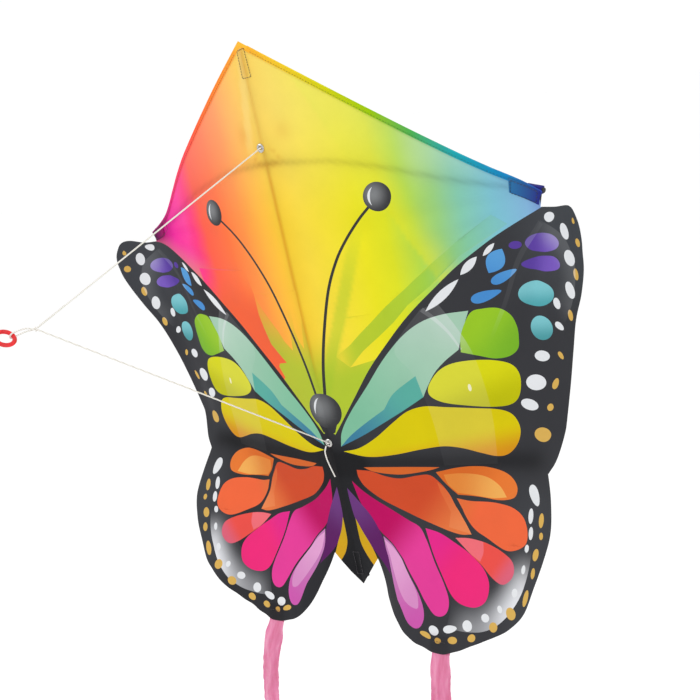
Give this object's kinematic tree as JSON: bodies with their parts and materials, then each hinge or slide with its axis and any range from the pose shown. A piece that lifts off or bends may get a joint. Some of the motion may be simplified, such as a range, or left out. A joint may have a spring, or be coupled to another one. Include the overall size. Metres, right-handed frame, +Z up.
{
  "type": "kite",
  "caption": "Diamond kite with a butterfly-shaped cloth sail in two wings, a spine and bowed spreader behind it, a two-leg bridle with a tow ring, and hanging ribbon tails",
  "frame": {"origin": "centre of the tow ring, where the flying line holds the kite", "axes": "+Z runs up along the spine to the nose, the printed face of the sail looks along -Y towards the line, and +X is to the right seen from the front"},
  "size_m": [0.71, 0.469, 1.2976],
  "materials": {
    "sail": "satin",
    "hem": "satin",
    "webbing": "matte",
    "film": "gloss",
    "rod": "satin",
    "fitting": "satin",
    "vinyl": "satin",
    "cap": "matte",
    "eyelet": "polished",
    "cord": "matte",
    "ring": "gloss"
  },
  "bodies": {
    "frame": {"spine": "rod", "spine_nose_cap": "cap", "spine_tail_cap": "cap", "nose_pocket": "webbing", "tail_pocket": "webbing", "spreader_hub": "fitting", "sail_middle": "sail", "eyelet_upper": "eyelet", "eyelet_lower": "eyelet", "bridle_tie_upper": "cord", "bridle_tie_lower": "cord", "bridle_end": "cord"},
    "bridle": {"bridle_upper_leg": "cord", "bridle_lower_leg": "cord", "bridle_knot": "cord", "bridle_knot_end": "cord", "tow_loop": "cord"},
    "ring": {"tow_ring": "ring"},
    "wing_left": {"sail_left": "sail", "hem_left": "hem", "spreader_left": "rod", "hub_sleeve_left": "vinyl", "tip_cap_left": "cap", "tip_pocket_left": "webbing", "tip_patch_left": "webbing", "tail_tab_left": "film"},
    "wing_right": {"sail_right": "sail", "hem_right": "hem", "spreader_right": "rod", "hub_sleeve_right": "vinyl", "tip_cap_right": "cap", "tip_pocket_right": "webbing", "tip_patch_right": "webbing", "tail_tab_right": "film"},
    "tail_left": {"tail_left": "film"},
    "tail_right": {"tail_right": "film"}
  },
  "joints": [
    {"name": "wing_fold_left", "type": "hinge", "parent": "frame", "child": "wing_left", "pos_m": [-0.0073, 0.384, -0.1186], "axis": [0, 0, -1], "range_deg": [-10, 20], "stiffness_Nm_per_rad": 0.4},
    {"name": "wing_fold_right", "type": "hinge", "parent": "frame", "child": "wing_right", "pos_m": [0.0073, 0.384, -0.1186], "axis": [0, 0, 1], "range_deg": [-10, 20], "stiffness_Nm_per_rad": 0.4},
    {"name": "bridle_yaw", "type": "hinge", "parent": "frame", "child": "bridle", "pos_m": [0, 0.384, -0.0831], "axis": [0, 0, 1], "range_deg": [-35, 35]},
    {"name": "ring_swing", "type": "hinge", "parent": "bridle", "child": "ring", "pos_m": [0, 0.008, 0], "axis": [0, 0, 1], "range_deg": [-75, 75]},
    {"name": "tail_swing_left", "type": "hinge", "parent": "wing_left", "child": "tail_left", "pos_m": [-0.1285, 0.34822, -0.4921], "axis": [1, 0, 0], "range_deg": [-50, 50]},
    {"name": "tail_swing_right", "type": "hinge", "parent": "wing_right", "child": "tail_right", "pos_m": [0.1285, 0.34822, -0.4921], "axis": [1, 0, 0], "range_deg": [-50, 50]}
  ]
}
